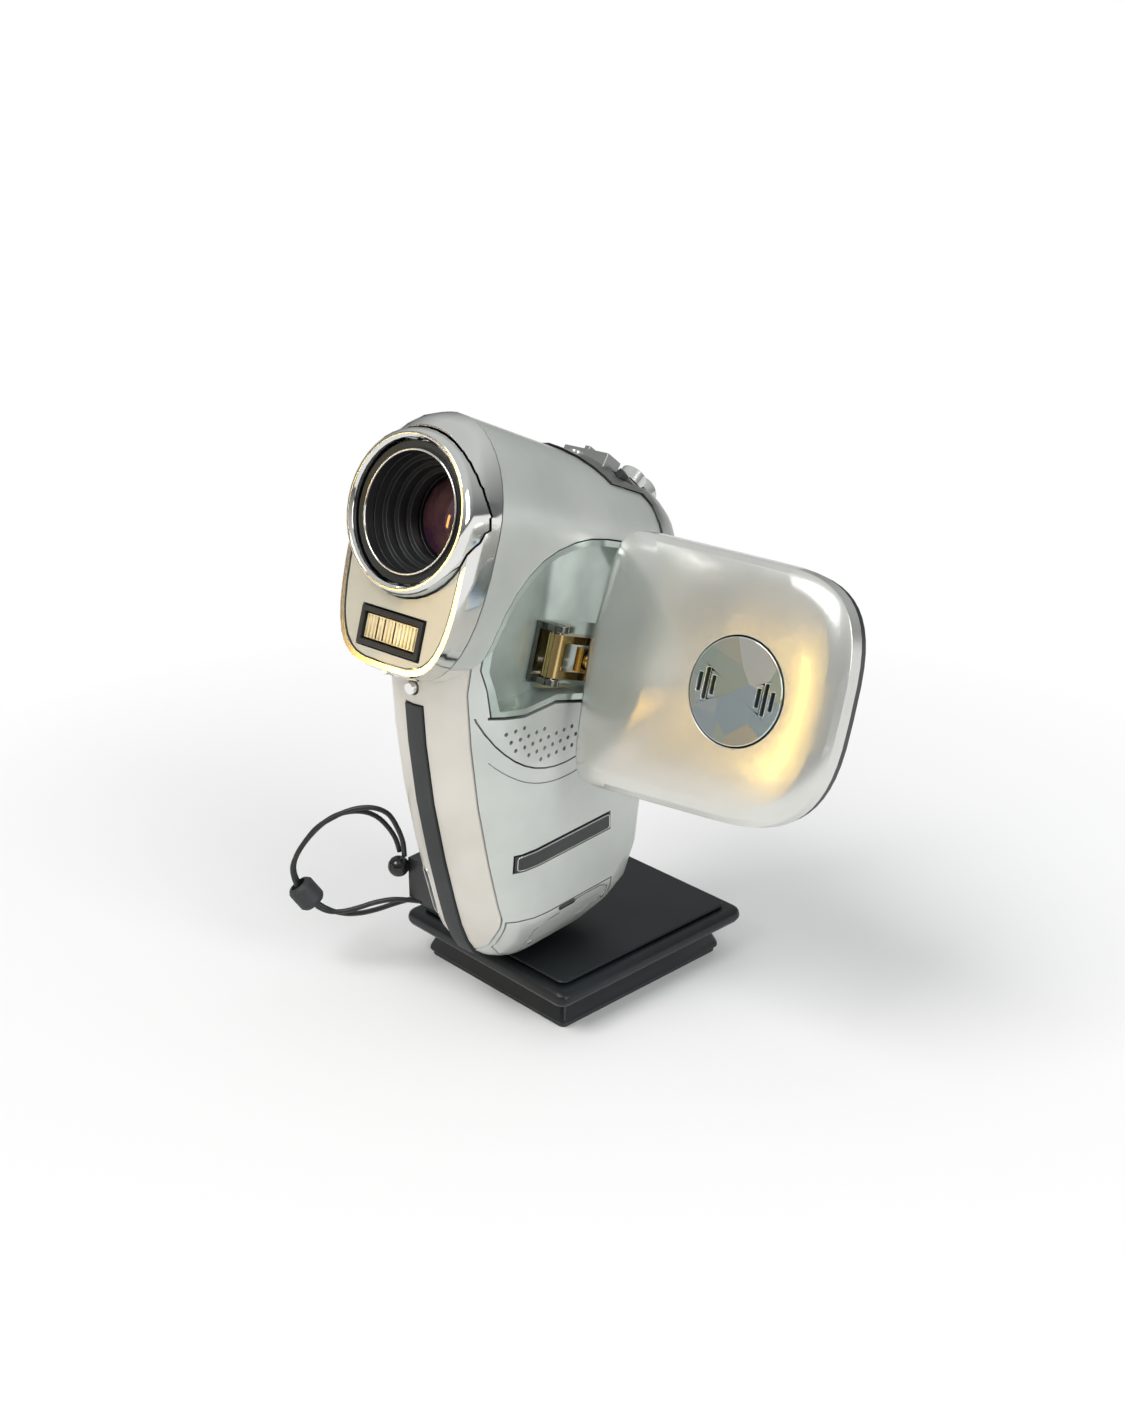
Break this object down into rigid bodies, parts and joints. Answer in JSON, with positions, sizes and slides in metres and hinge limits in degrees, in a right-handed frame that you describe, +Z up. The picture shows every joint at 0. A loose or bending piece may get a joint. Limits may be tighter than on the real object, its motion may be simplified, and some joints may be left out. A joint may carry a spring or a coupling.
{
  "type": "camcorder",
  "caption": "Pistol-grip pocket camcorder with a lens on an upright grip, a screen that folds out on a link and turns, rear buttons and a wrist strap, standing on a small display stand.",
  "frame": {"origin": "centre of the underside of the display stand, on the surface that it stands on", "axes": "+Z up, the lens looks towards -Y and 18 degrees up, the screen opens towards +X"},
  "size_m": [0.1026, 0.076, 0.1159],
  "materials": {
    "silver": "satin metallic lacquer",
    "warm_silver": "fine pearl lacquer",
    "gloss_silver": "glossy metallic lacquer",
    "grey": "satin metallic lacquer",
    "polished": "polished",
    "steel": "brushed",
    "black": "fine matte",
    "stand_black": "satin",
    "soft_rubber": "matte",
    "lens_glass": "coated",
    "clear": "clear",
    "reflector": "bright",
    "board_green": "solder lacquer",
    "battery_wrap": "matte",
    "cord_black": "braided"
  },
  "bodies": {
    "stand": {"stand_base_sheet": "soft_rubber", "stand_foot": "stand_black", "stand_plate": "stand_black", "stand_pad": "stand_black"},
    "camera": {"front_cover": "warm_silver", "left_shell": "silver", "right_shell": "silver", "control_panel": "grey", "front_bezel": "polished", "front_plate": "silver", "lens_ring": "polished", "lens_trim_ring": "black", "lens_baffle": "black", "front_lens": "lens_glass", "zoom_barrel": "black", "sensor_board": "board_green", "flash_frame": "black", "flash_reflector": "reflector", "flash_tube": "clear", "flash_window": "clear", "screen_recess": "gloss_silver", "speaker_grille": "silver", "speaker": "black", "label_plate": "black", "grip_strip": "soft_rubber", "front_screw_upper": "polished", "front_screw_lower": "polished", "hinge_bracket": "polished", "hinge_pin_body": "steel", "main_board": "board_green", "battery": "battery_wrap", "card_slot": "steel", "memory_card": "black", "strap_clip": "black", "strap_anchor": "black", "strap_knot": "cord_black", "strap_bead": "soft_rubber", "strap_cord_front": "cord_black", "strap_cord_back": "cord_black"},
    "link": {"hinge_link": "polished", "hinge_pin_screen": "steel"},
    "knuckle": {"hinge_knuckle": "polished"},
    "screen": {"screen_cover": "silver", "screen_frame": "black", "display_glass": "lens_glass", "display_module": "black", "microphone_disc": "polished", "microphone_mesh": "black"},
    "zoom_group": {"rear_lens": "lens_glass"},
    "photo_key": {"photo_button": "grey"},
    "record_key": {"record_button": "grey"},
    "menu_key": {"menu_button": "grey"},
    "power_key": {"power_button": "polished"},
    "zoom_key": {"zoom_rocker": "grey"},
    "mode_key": {"mode_switch": "black"},
    "card_flap": {"card_door": "silver"},
    "battery_flap": {"battery_door": "silver"}
  },
  "joints": [
    {"name": "lift_off", "type": "slide", "parent": "stand", "child": "camera", "axis": [0, 0, 1], "range_m": [0, 0.06]},
    {"name": "link_turn", "type": "hinge", "parent": "camera", "child": "link", "pos_m": [0.0102, -0.01742, 0.07146], "axis": [0, 0.309, 0.9511], "range_deg": [-171.65, 0]},
    {"name": "screen_swing", "type": "hinge", "parent": "link", "child": "knuckle", "pos_m": [0.0123, -0.00382, 0.06704], "axis": [0, -0.309, -0.9511], "range_deg": [-261.65, 0]},
    {"name": "screen_twist", "type": "hinge", "parent": "knuckle", "child": "screen", "pos_m": [0.0144, -0.01219, 0.06976], "axis": [1, 0, 0], "range_deg": [0, 180]},
    {"name": "zoom_slide", "type": "slide", "parent": "camera", "child": "zoom_group", "axis": [0, 0.9511, -0.309], "range_m": [-0.008, 0.005]},
    {"name": "photo_press", "type": "slide", "parent": "camera", "child": "photo_key", "axis": [0, -0.809, -0.5878], "range_m": [0, 0.0006], "stiffness_N_per_m": 300, "springref_m": -0.001},
    {"name": "record_press", "type": "slide", "parent": "camera", "child": "record_key", "axis": [0, -0.809, -0.5878], "range_m": [0, 0.0006], "stiffness_N_per_m": 300, "springref_m": -0.001},
    {"name": "menu_press", "type": "slide", "parent": "camera", "child": "menu_key", "axis": [0, -0.9848, -0.1736], "range_m": [0, 0.0008], "stiffness_N_per_m": 300, "springref_m": -0.001},
    {"name": "power_press", "type": "slide", "parent": "camera", "child": "power_key", "axis": [0, -0.4695, -0.8829], "range_m": [0, 0.0003], "stiffness_N_per_m": 300, "springref_m": -0.001},
    {"name": "zoom_rock", "type": "hinge", "parent": "camera", "child": "zoom_key", "pos_m": [0, 0.00402, 0.10055], "axis": [0, 0.7986, -0.6018], "range_deg": [-4, 4], "stiffness_Nm_per_rad": 0.02},
    {"name": "mode_slide", "type": "slide", "parent": "camera", "child": "mode_key", "axis": [0, 0.7986, -0.6018], "range_m": [0, 0.0018]},
    {"name": "card_door_turn", "type": "hinge", "parent": "camera", "child": "card_flap", "pos_m": [0.0063, -0.017, 0.0124], "axis": [0, 1, 0], "range_deg": [0, 45]},
    {"name": "battery_door_turn", "type": "hinge", "parent": "camera", "child": "battery_flap", "pos_m": [-0.0128, 0, 0.048], "axis": [0, 0, -1], "range_deg": [0, 100]}
  ],
  "couplings": [
    {"joint": "link_turn", "follows": "screen_swing", "ratio": 0.65603}
  ]
}
